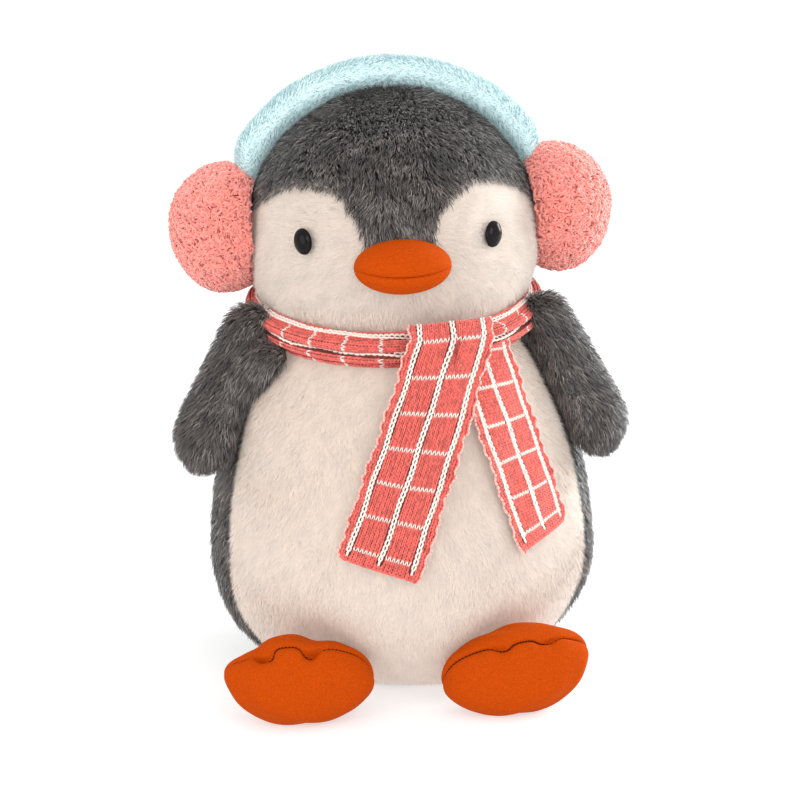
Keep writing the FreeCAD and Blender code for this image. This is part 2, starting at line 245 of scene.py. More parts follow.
def outwards(surface, centre):
    """The same form with its quads turned so that the normals leave the centre."""
    if ((surface.verts - centre) * surface.normals).sum() < 0:
        return Surface(surface.verts, surface.quads[:, ::-1])
    return surface


def mirrored(surface):
    return Surface(surface.verts * (-1, 1, 1), surface.quads[:, ::-1])


def place(obj, body, nodes=()):
    """Let a piece ride on a body and the CAD nodes it stands for."""
    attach(obj, body)
    if nodes:
        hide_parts(*nodes)


# ---------------- materials

def principled(name, colour, roughness, **values):
    material = bpy.data.materials.new(name)
    material.use_nodes = True
    shader = material.node_tree.nodes["Principled BSDF"]
    shader.inputs["Base Color"].default_value = (*colour, 1)
    shader.inputs["Roughness"].default_value = roughness
    for key, value in values.items():
        shader.inputs[key.replace("_", " ")].default_value = value
    return material


def shade(colour, factor, warm=0.0):
    """The colour made lighter or darker, and a little warmer or cooler."""
    tint = np.array([1 + warm, 1, 1 - warm])
    return tuple(np.clip(np.array(colour) * factor * tint, 0, 1))


def noise_node(tree, scale, detail):
    coordinates = tree.nodes.new("ShaderNodeTexCoord")
    noise = tree.nodes.new("ShaderNodeTexNoise")
    noise.inputs["Scale"].default_value = scale
    noise.inputs["Detail"].default_value = detail
    noise.inputs["Roughness"].default_value = 0.55
    tree.links.new(coordinates.outputs["Object"], noise.inputs["Vector"])
    return noise


def cloth_material(name, dark, light, roughness, scale, bump_mm, bump_scale, **values):
    """A woven or felted cloth: mottled colour and a fine raised grain."""
    material = principled(name, light, roughness, **values)
    tree = material.node_tree
    shader = tree.nodes["Principled BSDF"]
    mottle = noise_node(tree, scale, 6)
    ramp = tree.nodes.new("ShaderNodeValToRGB")
    for element, position, colour in zip(ramp.color_ramp.elements, (0.3, 0.7), (dark, light)):
        element.position = position
        element.color = (*colour, 1)
    tree.links.new(mottle.outputs["Fac"], ramp.inputs["Fac"])
    tree.links.new(ramp.outputs["Color"], shader.inputs["Base Color"])
    grain = noise_node(tree, bump_scale, 3)
    bump = tree.nodes.new("ShaderNodeBump")
    bump.inputs["Distance"].default_value = bump_mm * MM
    tree.links.new(grain.outputs["Fac"], bump.inputs["Height"])
    tree.links.new(bump.outputs["Normal"], shader.inputs["Normal"])
    return material


def shades(name, colour, factors, roughness, warm=0.0, **values):
    """Several shades of one yarn or fibre."""
    made = []
    for number, factor in enumerate(factors):
        lean = warm * (number % 2 * 2 - 1)
        made.append(principled(f"{name}_{number}", shade(colour, factor, lean), roughness, **values))
    return made


GREY = (0.101, 0.086, 0.079)
WHITE = (0.72, 0.63, 0.56)
BLUE = (0.76, 0.95, 0.98)
CORAL = (0.90, 0.26, 0.215)
KNIT_CORAL = (0.74, 0.125, 0.10)
YARN_WHITE = (0.90, 0.77, 0.70)
ORANGE = (0.50, 0.06, 0.0011)

# painted shade: the grey backing is much darker than its pile, standing in for the shade deep between the
# fibres
grey_skin = cloth_material("grey_backing", shade(GREY, 0.25), shade(GREY, 0.5), 0.95, 300, 0.4, 900)
# painted glow: the white backing's emission lifts the shade in the gaps of the white pile
white_skin = cloth_material(
    "white_backing", shade(WHITE, 0.96), shade(WHITE, 1.03), 0.95, 200, 0.3, 900,
    Emission_Color=(*WHITE, 1), Emission_Strength=0.2)
# painted shade: the blue and coral backings are darker than their pile and loops, standing in for the shade
# deep between them
blue_skin = cloth_material("blue_backing", shade(BLUE, 0.6), shade(BLUE, 0.85), 0.95, 250, 0.3, 900)
coral_skin = cloth_material("coral_backing", shade(CORAL, 0.45), shade(CORAL, 0.75), 0.95, 250, 0.5, 700)
felt = cloth_material(
    "orange_felt", shade(ORANGE, 0.76), shade(ORANGE, 1.14), 0.82, 1700, 0.25, 2600,
    Specular_IOR_Level=0.05, Sheen_Weight=0.15, Sheen_Roughness=0.35, Sheen_Tint=(1, 0.3, 0.02, 1))
fibre = cloth_material("filling_fibre", (0.78, 0.78, 0.77), (0.9, 0.9, 0.9), 0.9, 120, 1.0, 400)
# painted shade: this dark sheet shows only in the gaps between the scarf's stitches, where shade falls
knit_shade_sheet = cloth_material(
    "knit_painted_shade", shade(KNIT_CORAL, 0.14), shade(KNIT_CORAL, 0.3), 0.9, 500, 0.3, 1500)
eye_gloss = cloth_material(
    "eye_plastic", (0.004, 0.0035, 0.0035), (0.009, 0.007, 0.007), 0.14, 60, 0.004, 800,
    Specular_IOR_Level=0.15)
washer_plastic = cloth_material("washer_plastic", (0.7, 0.7, 0.68), (0.82, 0.82, 0.8), 0.5, 90, 0.01, 900)


def white_fibres(name, glow):
    """The long white pile, with a painted glow: its emission stands in for light scattered through the
    fibres.
    """
    return shades(name, WHITE, (0.9, 0.98, 1.03, 1.1), 0.8, 0.008, Sheen_Weight=0.3,
                  Emission_Color=(*WHITE, 1), Emission_Strength=glow)


grey_fur = shades("grey_pile", GREY, (0.25, 0.52, 0.9, 1.45, 2.8), 0.45, 0.03, Sheen_Weight=0.35)
# painted glow: the belly's pile glows more than the face's to lift the shade that falls on the belly
belly_fur = white_fibres("belly_pile", 0.2)
face_fur = white_fibres("face_pile", 0.11)
# painted glow: the blue pile's emission lifts the shade between its fibres
blue_fur = shades("blue_pile", BLUE, (0.92, 0.98, 1.03, 1.08), 0.7, 0.01, Sheen_Weight=0.4,
                  Emission_Color=(*BLUE, 1), Emission_Strength=0.12)
coral_loops = shades("coral_boucle", CORAL, (0.85, 1.0, 1.12), 0.7, 0.02, Sheen_Weight=1.0,
                     Sheen_Tint=(1, 0.85, 0.8, 1))
coral_yarn = shades("coral_yarn", KNIT_CORAL, (0.8, 1.0, 1.15), 0.75, 0.02, Sheen_Weight=0.5,
                    Sheen_Tint=(1, 0.6, 0.55, 1))
white_yarn = shades("white_yarn", YARN_WHITE, (0.95, 1.03), 0.75, 0.01, Sheen_Weight=0.3)
pale_yarn = [principled("pale_coral_yarn", (0.91, 0.45, 0.39), 0.75, Sheen_Weight=0.5)]
seam_thread = [principled("seam_thread", shade(ORANGE, 0.22), 0.9, Specular_IOR_Level=0.05)]


# ---------------- pile

def clumped(points, tips, size, pull, seed):
    """Tips drawn together in tufts about the given size."""
    draw = np.random.default_rng(seed)
    cells = np.floor((points + draw.normal(0, size * 0.2, points.shape)) / size).astype(np.int64)
    _, tuft = np.unique(cells @ np.array([1, 7919, 15485863]), return_inverse=True)
    count = np.bincount(tuft)
    middle = np.stack([np.bincount(tuft, tips[:, k]) / count for k in range(3)], -1)
    return tips + (middle[tuft] - tips) * pull


def grow(name, body, slot, materials, points, normals, flow, seed, length, width, rise, spread=0.35,
         tuft=3.5, pull=0.35, weights=None, steps=3, painted_root_shade=False, soft=0.55):
    """Pile as tapered fibres, sizes in mm.

    rise: each fibre's angle over the cloth at root and tip, in degrees; spread: its swing beside the flow.
    tuft, pull: how wide the tufts are and how far their tips draw together.
    weights: share of each material; soft: 0 shades each fibre by itself, 1 like the cloth under it.
    """
    draw = np.random.default_rng(seed)
    count = len(points)
    side = unit(np.cross(normals, flow))
    turn = draw.normal(0, spread, (count, 1))
    comb = unit(unit(np.cross(side, normals)) * np.cos(turn) + side * np.sin(turn))
    size = (length * MM * draw.uniform(0.72, 1.2, count))[:, None]
    lift = np.radians(draw.normal(0, 7, (count, 1)))
    spine = [points]
    for step in range(steps):
        share = step / max(steps - 1, 1)
        angle = np.radians(rise[0] + (rise[1] - rise[0]) * share) + lift
        spine.append(spine[-1] + size / steps * (np.sin(angle) * normals + np.cos(angle) * comb))
    tips = clumped(points, spine[-1], tuft * MM, pull, seed + 1)
    shift = tips - spine[-1]
    spine = [p + shift * (k / steps) ** 1.5 for k, p in enumerate(spine)]
    roll = draw.normal(0, 0.5, (count, 1))
    along = unit(spine[-1] - spine[0])
    flat = unit(np.cross(along, normals))
    across = unit(flat * np.cos(roll) + np.cross(along, flat) * np.sin(roll))
    half = width * MM / 2 * draw.uniform(0.75, 1.25, (count, 1))
    face = unit(np.cross(across, along))
    outward = np.where((face * normals).sum(1, keepdims=True) < 0, -1, 1)
    across, face = across * outward, face * outward
    shading = unit(soft * normals + (1 - soft) * face)
    columns, shadings = [], []
    for k in range(steps):
        taper = 1 - 0.75 * (k / steps) ** 2
        columns += [spine[k] - across * half * taper, spine[k] + across * half * taper]
        shadings += [shading, shading]
    columns.append(spine[-1])
    shadings.append(shading)
    stride = len(columns)
    verts = np.stack(columns, 1).reshape(-1, 3)
    verts[:, 2] = np.maximum(verts[:, 2], FLOOR_GAP)
    start = (np.arange(count) * stride)[:, None]
    quads = [start + np.array([[2 * k, 2 * k + 1, 2 * k + 3, 2 * k + 2]]) for k in range(steps - 1)]
    tip_faces = start + np.array([[stride - 3, stride - 2, stride - 1]])
    weights = np.ones(len(materials)) if weights is None else np.array(weights, float)
    level = ripple(points, 9 * MM, seed + 2) * 0.16 + draw.random(count)
    colour = np.searchsorted(np.cumsum(weights / weights.sum()), np.clip(level, 0, 0.9999))
    lower = np.repeat(colour[:, None], steps - 1, axis=1)
    # painted shade: the lowest part of every fibre takes the darkest material, for the shade deep in the pile
    if painted_root_shade:
        lower[:, 0] = 0
    slots = np.concatenate([lower.ravel(), colour])
    faces = [np.stack(quads, 1).reshape(-1, 4), tip_faces] if quads else [tip_faces]
    mesh = mesh_from(name, verts, faces, slots)
    mesh.normals_split_custom_set_from_vertices(np.stack(shadings, 1).reshape(-1, 3).tolist())
    place(new_object(name, mesh, materials), body)


DOWN = np.array([0.0, 0.0, -1.0])
GREY_COAT = {"length": 8.0, "width": 0.6, "weights": (3, 4, 4, 2.4, 1.2)}


def downward(points, normals, sideways, seed):
    """Pile combed down, with slow swirls."""
    swirl = ripple(points, 45 * MM, seed)[:, None] * sideways
    return tangent(DOWN + np.cross(normals, DOWN) * swirl, normals)


def grey_coat(name, body, points, normals, seeds, rise):
    """The long grey pile of the back and of the back of the head."""
    grow(name, body, "grey_plush", grey_fur, points, normals, downward(points, normals, 0.35, seeds[0]),
         seeds[1], rise=rise, **GREY_COAT)


# ---------------- torso

SKIN_IN = 3.2 * MM          # the backing cloth lies this far under the CAD surface, and pile fills the rest
SEAM_AZIMUTH = math.radians(68)
SEAM_HALF = 2.5 * MM
SEAM_DENT = 1.4 * MM
BODY_WAVES = 0.9 * MM
FOOT_DENT = 4.5 * MM        # the feet and the wings are drawn into the belly where they are sewn on
FOOT_SEWN_Z = 34 * MM
WING_DENT = 3.0 * MM
FILLING_IN = 2.5 * MM       # from the backing cloth to the filling
NECK_BARE = 6 * MM          # no pile on this much under the neck
STEP = 1.8 * MM             # between the form's points


def torso_r(z):
    lower = bulge(z, BELLY_R, BELLY_Z, BASE_R, 0)
    upper = bulge(z, BELLY_R, BELLY_Z, NECK_R, NECK_Z)
    return np.where(z < BELLY_Z, lower, upper)


torso_heights = np.linspace(0.4 * MM, NECK_Z - 1 * MM, int(1.35 * NECK_Z / STEP))
torso_azimuths = np.linspace(-math.pi, math.pi, int(2 * math.pi * BELLY_R / STEP), endpoint=False)
heights, azimuths = np.meshgrid(torso_heights, torso_azimuths, indexing="ij")
body_points = around(torso_r(heights), azimuths, heights).reshape(-1, 3)
body_faces = grid_faces(len(torso_heights), len(torso_azimuths), wrap=True)
torso = Surface(body_points, body_faces)

flat_azimuth = azimuths.ravel()
flat_z = heights.ravel()
seam_gap = np.abs(np.abs(flat_azimuth) - SEAM_AZIMUTH) * torso_r(flat_z)
back_gap = (math.pi - np.abs(flat_azimuth)) * torso_r(flat_z)
inset = SKIN_IN + SEAM_DENT * (groove(seam_gap, SEAM_HALF) + groove(back_gap, SEAM_HALF))
inset += BODY_WAVES * ripple(body_points, 70 * MM, 5)
for side, name in SIDES:
    foot_middle = (low("foot_sole_" + name) + high("foot_sole_" + name)) / 2
    azimuth = np.arctan2(foot_middle[0], -foot_middle[1])
    inset += FOOT_DENT * near(body_points, around(BELLY_R - 6 * MM, azimuth, FOOT_SEWN_Z), 15 * MM)
    inset += WING_DENT * near(body_points, HINGES[f"wing_{name}_lift"] - (0, 0, 8 * MM), 14 * MM)
torso = torso.moved(-inset)
torso.filling("body_stuffing", "torso", FILLING_IN)
middle = torso.middles()
face_azimuth = np.arctan2(middle[:, 0], -middle[:, 1])
belly = torso.part(np.abs(face_azimuth) < SEAM_AZIMUTH)
backs = {
    "left": torso.part(face_azimuth >= SEAM_AZIMUTH),
    "right": torso.part(face_azimuth <= -SEAM_AZIMUTH),
}
belly.cloth("belly_cloth", "torso", "white_plush", white_skin, ["belly_panel"], fill=0.8)
for name, back in backs.items():
    back.cloth("back_cloth_" + name, "torso", "grey_plush", grey_skin, ["back_panel_" + name], fill=0.8)


def below_neck(points, normals):
    """Only the points that are clear of the neck seam."""
    keep = points[:, 2] < NECK_Z - NECK_BARE
    return points[keep], normals[keep]


for side, name in SIDES:
    half = belly.part(np.sign(belly.middles()[:, 0]) == side)
    points, normals = below_neck(*half.sampled(6.0, 11 + side))
    grow(f"belly_pile_{name}", "torso", "white_plush", belly_fur, points, normals,
         downward(points, normals, 0.3, 21), 31 + side, length=5.4, width=0.46, rise=(31, 31), spread=0.4,
         pull=0.12, soft=0.96, steps=1)
    points, normals = below_neck(*backs[name].sampled(1.25, 41 + side))
    grey_coat(f"back_pile_{name}", "torso", points, normals, (23, 51 + side), rise=(45, 10))


# ---------------- head

LOBE_X = 45.8 * MM
LOBE_Z = HEAD_Z - 10.5 * MM
LOBE_R = 29.5 * MM
LOBE_RISE = math.radians(13)
PEAK_Z = HEAD_Z + 3.5 * MM  # where the grey comes down between the lobes
FACE_BACK_Y = 4 * MM
EYE_HALF_W = 5.0 * MM
EYE_CLEAR = (4.6 * MM, 6.0 * MM)    # no pile this near an eye's middle, across and up
HEAD_WAVES = 0.6 * MM
PEAK_STEP = 1.2 * MM        # the face lies this much higher than the crown
EYE_DENT = 1.8 * MM
BACK_DENT = 1.3 * MM
CHIN_FRINGE = 13 * MM       # the chin's longer pile grows on this much over the neck
CHEEK_ROWS = 24
BALL_ROWS = 74
HEAD_COLUMNS = 290

cheek_z = np.linspace(low("face_panel")[2] + 0.6 * MM, HEAD_Z, CHEEK_ROWS, endpoint=False)
ball_angle = np.linspace(0, math.pi / 2, BALL_ROWS)
profile_r = np.concatenate([bulge(cheek_z, HEAD_R, HEAD_Z, HEAD_NECK_R, NECK_Z), HEAD_R * np.cos(ball_angle)])
profile_z = np.concatenate([cheek_z, HEAD_Z + HEAD_R * np.sin(ball_angle)])
head_azimuths = np.linspace(-math.pi, math.pi, HEAD_COLUMNS, endpoint=False)
r_grid, azimuths = np.meshgrid(profile_r, head_azimuths, indexing="ij")
z_grid = np.broadcast_to(profile_z[:, None], r_grid.shape)
head_points = around(np.maximum(r_grid, 0.05 * MM), azimuths, z_grid).reshape(-1, 3)
head = Surface(head_points, grid_faces(len(profile_r), len(head_azimuths), wrap=True))


def in_lobe(points, side):
    """True where the round white lobe over one eye covers a point of the head's front."""
    rise_line = LOBE_Z - np.tan(LOBE_RISE) * points[:, 1]
    dx = points[:, 0] - side * LOBE_X
    dz = (points[:, 2] - rise_line) * math.cos(LOBE_RISE)
    return np.hypot(dx, dz) < LOBE_R


def is_face(points):
    """True on the white face: the lobes round the eyes, the cheeks and all below the peak."""
    lobes = in_lobe(points, 1) | in_lobe(points, -1)
    outside = np.abs(points[:, 0]) > LOBE_X + 0.85 * LOBE_R
    low_part = (points[:, 2] < PEAK_Z) | (outside & (points[:, 2] < PEAK_Z + 14 * MM))
    return (points[:, 1] < FACE_BACK_Y) & (lobes | low_part)


EYES = {}
for side, name in SIDES:
    eye_low, eye_high = low("eye_" + name), high("eye_" + name)
    x = eye_high[0] - EYE_HALF_W if side > 0 else eye_low[0] + EYE_HALF_W
    z = (eye_low[2] + eye_high[2]) / 2
    y = -math.sqrt(HEAD_R**2 - x**2 - (z - HEAD_Z) ** 2)
    EYES[name] = np.array([x, y, z])
inset = SKIN_IN + HEAD_WAVES * ripple(head_points, 60 * MM, 8)
inset -= PEAK_STEP * smooth_step(head_points[:, 2], PEAK_Z + 12 * MM, PEAK_Z - 12 * MM)
for eye in EYES.values():
    inset += EYE_DENT * near(head_points, eye, 9 * MM)
back_seam = np.where(head_points[:, 1] > 0, np.abs(head_points[:, 0]), 1.0)
inset += BACK_DENT * groove(back_seam, SEAM_HALF)
head = head.moved(-inset)
head.filling("head_stuffing", "head", FILLING_IN)
middle = head.middles()
face_mask = is_face(middle)
front_mask = middle[:, 1] < FACE_BACK_Y
face = head.part(face_mask)
crown = head.part(front_mask & ~face_mask)
face.cloth("face_cloth", "head", "white_plush", white_skin, ["face_panel"], fill=0.85)
crown.cloth("crown_cloth", "head", "grey_plush", grey_skin, ["crown_panel"], fill=0.85)
for side, name in SIDES:
    part = head.part(~front_mask & (np.sign(middle[:, 0]) == side))
    node = "head_back_panel_" + name
    part.cloth(f"head_back_cloth_{name}", "head", "grey_plush", grey_skin, [node], fill=0.85)
    points, normals = part.sampled(1.2, 61 + side)
    grey_coat(f"head_back_pile_{name}", "head", points, normals, (25, 63 + side), rise=(48, 12))

BEAK_FRONT = np.array([0, -HEAD_R, BEAK_Z])


def away_from_beak(points, normals, fall):
    """Pile combed away from the beak and somewhat down."""
    outward = points - (BEAK_FRONT + (0, 0, 8 * MM))
    outward = unit(outward) + (0, 0, -fall) + 0.25 * ripple(points, 30 * MM, 27)[:, None] * (0, 0, 1)
    return tangent(outward, normals)


def outside_oval(points, centre, half_x, half_z):
    """True for the points outside an upright oval as seen from the front."""
    offset = points - centre
    return (offset[:, 0] / half_x) ** 2 + (offset[:, 2] / half_z) ** 2 > 1


points, normals = face.sampled(6.5, 71)
clear = outside_oval(points, BEAK_FRONT, BEAK_W - 1.5 * MM, BEAK_H - 1 * MM) | (points[:, 1] > 0)
for eye in EYES.values():
    clear &= outside_oval(points, eye, *EYE_CLEAR)
points, normals = points[clear], normals[clear]
grow("face_pile", "head", "white_plush", face_fur, points, normals, away_from_beak(points, normals, 0.35), 73,
     length=5.2, width=0.42, rise=(30, 30), pull=0.12, soft=0.96, steps=1)
points, normals = face.sampled(1.6, 76)
fringe = (points[:, 2] < low("face_panel")[2] + CHIN_FRINGE) & (points[:, 1] < 0)
points, normals = points[fringe], normals[fringe]
grow("chin_pile", "head", "white_plush", face_fur, points, normals, downward(points, normals, 0.4, 28), 74,
     length=7.5, width=0.36, rise=(34, 2), pull=0.15, soft=0.95)
points, normals = crown.sampled(2.4, 75)
comb = (0, -0.35, -1.0) + 0.3 * ripple(points, 28 * MM, 29)[:, None] * (1, 0, 0)
grow("crown_pile", "head", "grey_plush", grey_fur, points, normals, tangent(comb, normals), 77, length=7.4,
     width=0.45, rise=(54, 16), tuft=3.2, pull=0.5, weights=(3.4, 4, 3.6, 2.8, 1.6), painted_root_shade=True)


# ---------------- wings

WING_TOP = mm(71.0, -26.0, 176.5)
WING_TIP = mm(94.5, -32.0, 126.0)
WING_TOP_R = 14 * MM
WING_TIP_R = 17 * MM
WING_FLAT = 0.68
WING_FACE = math.radians(42)
WING_BOW = 3 * MM
WING_IN = 3.0 * MM
WING_ROWS = 70
WING_COLUMNS = 72
OVER_IN = 11 * MM           # the right wing's inner edge is drawn this far in
OVER_FORWARD = 23 * MM      # and this far forward over the belly


def wing_form():
    """The left wing: a bowed tapered pad as a grid, in the toy's frame."""
    down = WING_TIP - WING_TOP
    span = np.linalg.norm(down)
    down = down / span
    outward = np.array([math.sin(WING_FACE), -math.cos(WING_FACE), 0])
    across = unit(np.cross(-down, outward))
    outward = np.cross(across, -down)
    t = np.linspace(0.004, 0.996, WING_ROWS) * math.pi
    s = np.linspace(0, 2 * math.pi, WING_COLUMNS, endpoint=False)
    axis = (1 - np.cos(t)) / 2 * (span + WING_TOP_R + WING_TIP_R) - WING_TOP_R
    r_top = np.sqrt(np.maximum(WING_TOP_R**2 - np.minimum(axis, 0) ** 2, 0))
    r_tip = np.sqrt(np.maximum(WING_TIP_R**2 - np.maximum(axis - span, 0) ** 2, 0))
    middle = WING_TOP_R + (WING_TIP_R - WING_TOP_R) * np.clip(axis / span, 0, 1)
    radius = np.where(axis < 0, r_top, np.where(axis > span, r_tip, middle))
    bow = WING_BOW * np.sin(math.pi * np.clip((axis + WING_TOP_R) / (span + WING_TOP_R + WING_TIP_R), 0, 1))
    x = radius[:, None] * np.cos(s) + bow[:, None]
    y = radius[:, None] * np.sin(s) * WING_FLAT
    z = np.broadcast_to(axis[:, None], x.shape)
    side = across if across[0] > 0 else -across
    points = WING_TOP + x[..., None] * side + y[..., None] * outward + z[..., None] * down
    points = points.reshape(-1, 3)
    surface = Surface(points, grid_faces(WING_ROWS, WING_COLUMNS, wrap=True))
    return outwards(surface, points.mean(0)), down


def drawn_over(form, side):
    """A wing with its inner edge drawn out over the belly just under the scarf."""
    points = form.verts
    high_up = smooth_step(points[:, 2], 116 * MM, 166 * MM) * smooth_step(points[:, 2], 180 * MM, 166 * MM)
    inner = smooth_step(side * points[:, 0], 82 * MM, 60 * MM)
    share = (high_up * inner)[:, None]
    return Surface(points + share * (-side * OVER_IN, -OVER_FORWARD, 0), form.quads)


left_wing, wing_down = wing_form()
for side, name in SIDES:
    form = left_wing if side > 0 else drawn_over(mirrored(left_wing), side)
    form = form.moved(-WING_IN + 0.5 * MM * ripple(form.verts, 35 * MM, 81))
    nodes = ["wing_outer_" + name, "wing_inner_" + name]
    form.cloth("wing_cloth_" + name, "wing_" + name, "grey_plush", grey_skin, nodes, fill=0.6)
    points, normals = form.sampled(2.6, 83 + side)
    comb = wing_down * (side, 1, 1) + 0.25 * ripple(points, 30 * MM, 85)[:, None] * (1, 0, 0)
    grow("wing_pile_" + name, "wing_" + name, "grey_plush", grey_fur, points, normals, tangent(comb, normals),
         87 + side, length=7.6, width=0.45, rise=(50, 18), weights=(3, 4, 4, 2.6, 1.2), painted_root_shade=True)


# ---------------- yarns and loops

YARN_SIDES = 4


def tubes(name, body, materials, spines, ups, radii, slots):
    """Round yarns along spines of shape (count, rings, 3), with the direction away from the cloth."""
    count, rings = spines.shape[:2]
    along = unit(np.gradient(spines, axis=1))
    side = unit(np.cross(along, ups))
    up = np.cross(side, along)
    angle = (np.arange(YARN_SIDES) + 0.5) * 2 * math.pi / YARN_SIDES
    ring = side[:, :, None] * np.cos(angle)[:, None] - up[:, :, None] * np.sin(angle)[:, None]
    radii = np.broadcast_to(radii, (count, rings))
    verts = spines[:, :, None] + ring * radii[:, :, None, None]
    faces = grid_faces(rings, YARN_SIDES, wrap=True)
    quads = (np.arange(count) * rings * YARN_SIDES)[:, None, None] + faces
    mesh = mesh_from(name, verts.reshape(-1, 3), quads.reshape(-1, 4), np.repeat(slots, len(faces)))
    obj = new_object(name, mesh, materials)
    place(obj, body)
    return obj


LOOP_RINGS = 5
LOOP_LENGTH = 4.2 * MM
LOOP_WIDTH = 1.25 * MM
LOOP_HEIGHT = 1.6 * MM


def boucle(name, points, normals, seed):
    """Short curled loops that lie every way over the cloth of an ear pad."""
    draw = np.random.default_rng(seed)
    count = len(points)
    heading = unit(tangent(draw.normal(size=(count, 3)), normals))
    aside = np.cross(normals, heading)
    reach = LOOP_LENGTH * draw.uniform(0.6, 1.25, (count, 1)) / 2
    hook = reach * draw.normal(0, 0.75, (count, 1))
    lift = LOOP_HEIGHT * draw.uniform(0.35, 1.25, (count, 1))
    spine = []
    for s in np.linspace(-1, 1, LOOP_RINGS):
        arch = 1 - abs(s) ** 2.2
        bend = hook * (1 - s * s) + 0.35 * hook * s
        spine.append(points + heading * reach * s + aside * bend + normals * (lift * arch - 0.3 * MM))
    radius = np.array([0.25, 0.92, 1.05, 0.92, 0.25]) * LOOP_WIDTH / 2
    radii = radius * draw.uniform(0.75, 1.2, (count, 1))
    slots = draw.choice(len(coral_loops), count, p=(0.3, 0.42, 0.28))
    ups = np.repeat(normals[:, None], LOOP_RINGS, axis=1)
    tubes(name, "ear_muffs", coral_loops, np.stack(spine, 1), ups, radii, slots)


# ---------------- ear muffs

BAND_R = 82.0 * MM
BAND_Y = 4 * MM
BAND_CENTRE_Z = HEAD_Z - 4.5 * MM
BAND_HALF_THICK = 8.2 * MM
BAND_HALF_WIDTH = 11 * MM
BAND_HALF_SPAN = math.radians(68)
PAD_X = 82.5 * MM
PAD_Z = HEAD_Z + 6.2 * MM
PAD_HALF = mm(27.0, 32.0, 32.5)
MUFF_TILT = math.radians(1.5)
BAND_IN = 1.6 * MM
BAND_STEPS = 170
BAND_SIDES = 40
PAD_IN = 2.2 * MM
PAD_OFF_HEAD = 1.2 * MM
PAD_ROWS = 90
PAD_COLUMNS = 110


def askew(points):
    """Points turned with the ear muffs, which sit a little higher on the toy's left."""
    x, y, z = points[..., 0], points[..., 1], points[..., 2] - HEAD_Z
    cosine, sine = math.cos(MUFF_TILT), math.sin(MUFF_TILT)
    return np.stack([x * cosine - z * sine, y, HEAD_Z + x * sine + z * cosine], -1)


def band_form():
    """The padded band over the head, slimmer where it enters the pads."""
    a = np.linspace(-BAND_HALF_SPAN, BAND_HALF_SPAN, BAND_STEPS)[:, None]
    s = np.linspace(0, 2 * math.pi, BAND_SIDES, endpoint=False)[None, :]
    ends = smooth_step(np.abs(a), BAND_HALF_SPAN, BAND_HALF_SPAN - math.radians(16))
    width = BAND_HALF_WIDTH * (0.55 + 0.45 * ends)
    thick = BAND_HALF_THICK * (0.6 + 0.4 * ends)
    r = BAND_R - 4.5 * MM * (1 - ends) + thick * np.cos(s)
    points = askew(np.stack([r * np.sin(a), BAND_Y - width * np.sin(s), BAND_CENTRE_Z + r * np.cos(a)], -1))
    middle_line = np.broadcast_to(points.mean(1, keepdims=True), points.shape)
    surface = Surface(points.reshape(-1, 3), grid_faces(BAND_STEPS, BAND_SIDES, wrap=True))
    return outwards(surface, middle_line.reshape(-1, 3))


band = band_form()
band = band.moved(-BAND_IN + 0.25 * MM * ripple(band.verts, 25 * MM, 91))
band.cloth("headband_cloth", "ear_muffs", "blue_plush", blue_skin, ["headband_cover"], fill=0.5)
points, normals = band.sampled(3.4, 93)
comb = np.cross(normals, (0.0, 1.0, 0.0)) * np.where(points[:, :1] > 0, 1, -1) + (0.0, -0.6, 0.0)
grow("headband_pile", "ear_muffs", "blue_plush", blue_fur, points, normals, tangent(comb, normals), 95,
     length=3.2, width=0.36, rise=(55, 25), spread=0.6, tuft=2.0, pull=0.2, soft=0.85)


def pad_form(side):
    """One ear pad: a round dome whose inner side follows the head."""
    t = np.linspace(0.003, 0.997, PAD_ROWS) * math.pi
    s = np.linspace(0, 2 * math.pi, PAD_COLUMNS, endpoint=False)
    x = np.cos(t)[:, None] + 0 * s
    y = np.sin(t)[:, None] * np.cos(s)
    z = np.sin(t)[:, None] * np.sin(s)
    pad_middle = np.array([PAD_X, BAND_Y, PAD_Z])
    points = np.stack([x, y, z], -1).reshape(-1, 3) * (PAD_HALF - PAD_IN) + pad_middle
    offset = askew(points * (side, 1, 1)) - HEAD_MIDDLE
    reach = np.linalg.norm(offset, axis=1, keepdims=True)
    points = HEAD_MIDDLE + offset * np.maximum((HEAD_R + PAD_OFF_HEAD) / reach, 1)
    surface = Surface(points, grid_faces(PAD_ROWS, PAD_COLUMNS, wrap=True))
    surface = outwards(surface, askew(pad_middle * (side, 1, 1)))
    return surface.moved(0.7 * MM * ripple(surface.verts, 22 * MM, 97 + side))


for side, name in SIDES:
    pad = pad_form(side)
    node = "earmuff_cover_" + name
    pad.cloth("earmuff_cloth_" + name, "ear_muffs", "coral_boucle", coral_skin, [node], thick=0, fill=0.7)
    points, normals = pad.sampled(0.79, 101 + side)
    outer = np.linalg.norm(points - HEAD_MIDDLE, axis=1) > HEAD_R + 3 * MM
    boucle("earmuff_loops_" + name, points[outer], normals[outer], 103 + side)


# ---------------- beak

BEAK_HALF = mm(22.8, 17.0, 12.9)
LIP_Z = BEAK_SEAM_Z - BEAK_Z - 0.8 * MM
LIP_SMILE = 3.0 * MM        # the mouth seam ends this much higher than its middle
BEAK_SHIFT = mm(0.8, 0, -1.5)
BEAK_ROWS = 111
BEAK_COLUMNS = 121


